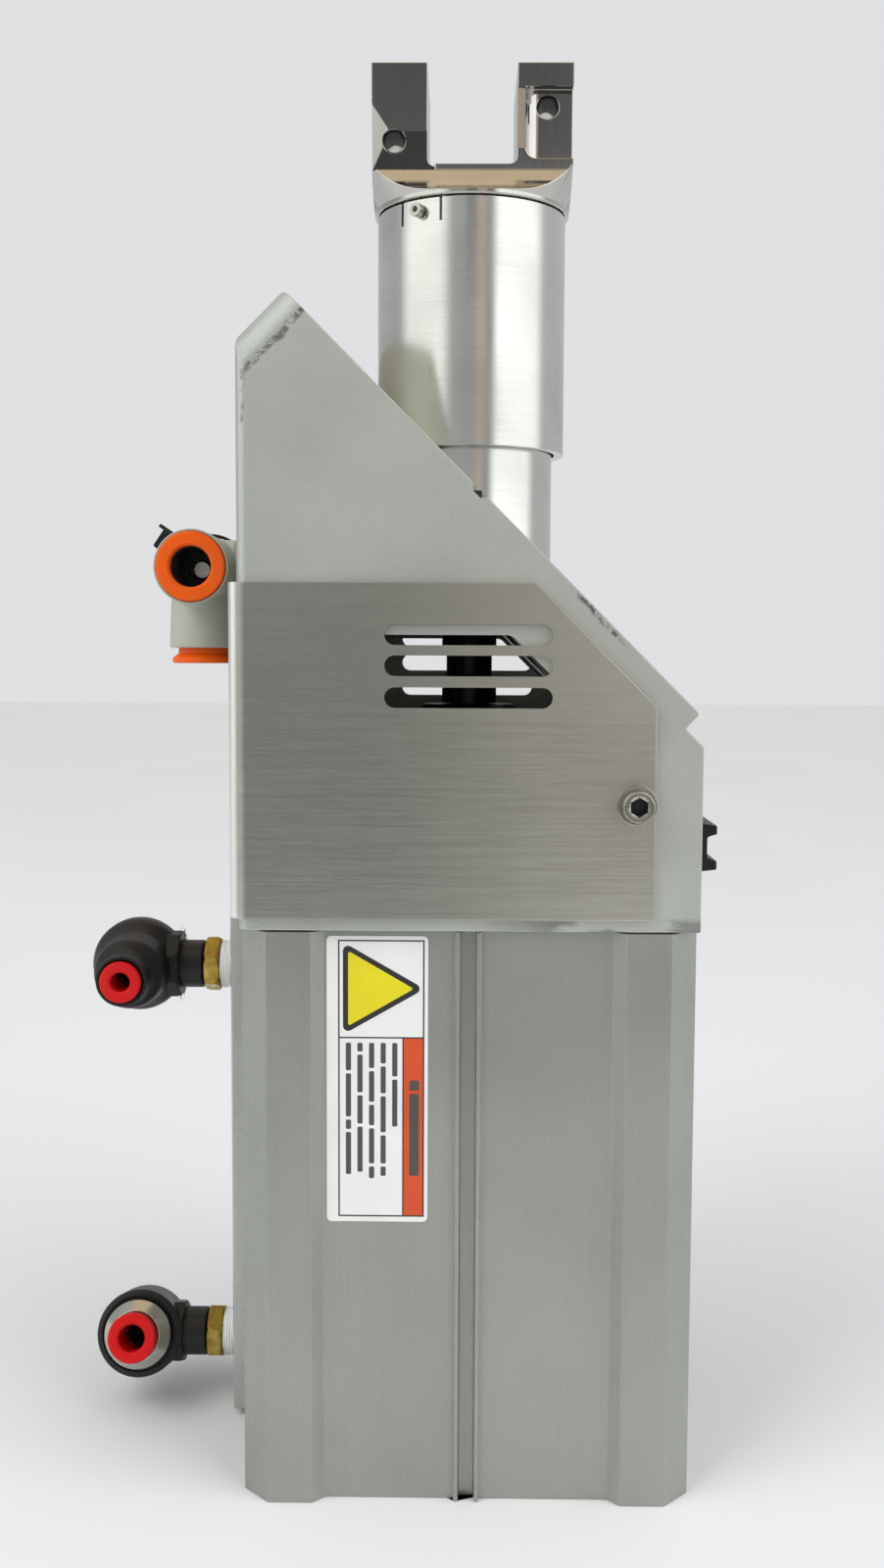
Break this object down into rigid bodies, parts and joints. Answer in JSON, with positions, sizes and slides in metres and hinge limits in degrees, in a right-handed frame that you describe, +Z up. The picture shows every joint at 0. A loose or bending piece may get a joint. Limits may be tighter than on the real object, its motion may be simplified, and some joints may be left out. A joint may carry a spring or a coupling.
{
  "type": "pneumatic linear actuator with rod fork",
  "caption": "Square pneumatic cylinder with a 45 degree mounting bracket, slotted cover, guarded rod ending in a two-prong fork, and push-in air fittings.",
  "frame": {"origin": "centre of the cylinder's flat base, on the rod axis", "axes": "+Z up along the rod towards the fork; -Y towards the front with the slotted cover; -X towards the air ports"},
  "size_m": [0.1737, 0.1304, 0.3686],
  "materials": {
    "anodised": "satin clear anodise, light grey",
    "brushed_steel": "fine horizontal brushing",
    "polished_steel": "polished stainless steel",
    "dark_steel": "black oxide",
    "machined_aluminium": "machined",
    "brass": "turned brass, slightly dull",
    "bronze": "sintered bronze",
    "nickel": "nickel plate, satin",
    "rubber": "matt black",
    "black_resin": "moulded black resin",
    "grey_resin": "moulded light grey resin",
    "orange_resin": "moulded orange resin",
    "red_resin": "moulded red resin"
  },
  "bodies": {
    "frame": {"barrel": "anodised", "bellows": "nickel", "bellows_top_ring": "nickel", "connector_insert": "grey_resin", "connector_shell": "black_resin", "cover": "brushed_steel", "cover_screw_back": "nickel", "cover_screw_front": "nickel", "cover_washer_back": "nickel", "cover_washer_front": "nickel", "exhaust_stem": "brass", "front_bumper": "rubber", "front_head": "machined_aluminium", "front_head_seal": "rubber", "guide_tube": "polished_steel", "housing": "anodised", "housing_bolt_1": "dark_steel", "housing_bolt_2": "dark_steel", "housing_bolt_3": "dark_steel", "housing_bolt_4": "dark_steel", "lower_stem": "brass", "manifold_plate": "anodised", "manifold_screw_1": "dark_steel", "manifold_screw_2": "dark_steel", "manifold_seal_lower": "rubber", "manifold_seal_upper": "rubber", "rear_bumper": "rubber", "rear_head": "machined_aluminium", "rear_head_seal": "rubber", "rear_retaining_wire": "dark_steel", "reed_switch_lower": "black_resin", "reed_switch_upper": "black_resin", "rod_bushing": "bronze", "rod_seal": "rubber", "rod_wiper": "rubber", "tube_collar": "anodised", "upper_stem": "brass"},
    "rod": {"piston": "machined_aluminium", "piston_seal_lower": "rubber", "piston_seal_upper": "rubber", "piston_magnet_ring": "rubber", "piston_nut": "dark_steel", "piston_rod": "polished_steel", "rod_coupler": "dark_steel", "shaft": "polished_steel", "bellows_bottom_ring": "nickel", "fork": "polished_steel", "sleeve": "polished_steel", "sleeve_screw_1": "nickel", "sleeve_screw_2": "nickel"},
    "upper_elbow": {"upper_elbow": "black_resin"},
    "lower_elbow": {"lower_elbow": "black_resin", "lower_gland": "nickel"},
    "exhaust_elbow": {"exhaust_elbow": "grey_resin", "cable_tie": "black_resin"},
    "upper_collet": {"upper_collet": "red_resin"},
    "lower_collet": {"lower_collet": "red_resin"},
    "exhaust_collet_front": {"exhaust_collet_front": "orange_resin"},
    "exhaust_collet_down": {"exhaust_collet_down": "orange_resin"}
  },
  "joints": [
    {"name": "rod_slide", "type": "slide", "parent": "frame", "child": "rod", "axis": [0, 0, 1], "range_m": [0, 0.05], "deforming": ["bellows"]},
    {"name": "upper_elbow_swivel", "type": "hinge", "parent": "frame", "child": "upper_elbow", "pos_m": [-0.093, 0, 0.1274], "axis": [1, 0, 0], "continuous": true},
    {"name": "lower_elbow_swivel", "type": "hinge", "parent": "frame", "child": "lower_elbow", "pos_m": [-0.093, 0, 0.0196], "axis": [1, 0, 0], "continuous": true},
    {"name": "exhaust_elbow_swivel", "type": "hinge", "parent": "frame", "child": "exhaust_elbow", "pos_m": [-0.0735, 0, 0.238], "axis": [1, 0, 0], "continuous": true},
    {"name": "upper_collet_press", "type": "slide", "parent": "upper_elbow", "child": "upper_collet", "axis": [0, 1, 0], "range_m": [0, 0.0012], "stiffness_N_per_m": 1500},
    {"name": "lower_collet_press", "type": "slide", "parent": "lower_elbow", "child": "lower_collet", "axis": [0, 0.9563, -0.2924], "range_m": [0, 0.0012], "stiffness_N_per_m": 1500},
    {"name": "exhaust_collet_front_press", "type": "slide", "parent": "exhaust_elbow", "child": "exhaust_collet_front", "axis": [0, 1, 0], "range_m": [0, 0.0012], "stiffness_N_per_m": 1500},
    {"name": "exhaust_collet_down_press", "type": "slide", "parent": "exhaust_elbow", "child": "exhaust_collet_down", "axis": [0, 0, 1], "range_m": [0, 0.0012], "stiffness_N_per_m": 1500}
  ]
}
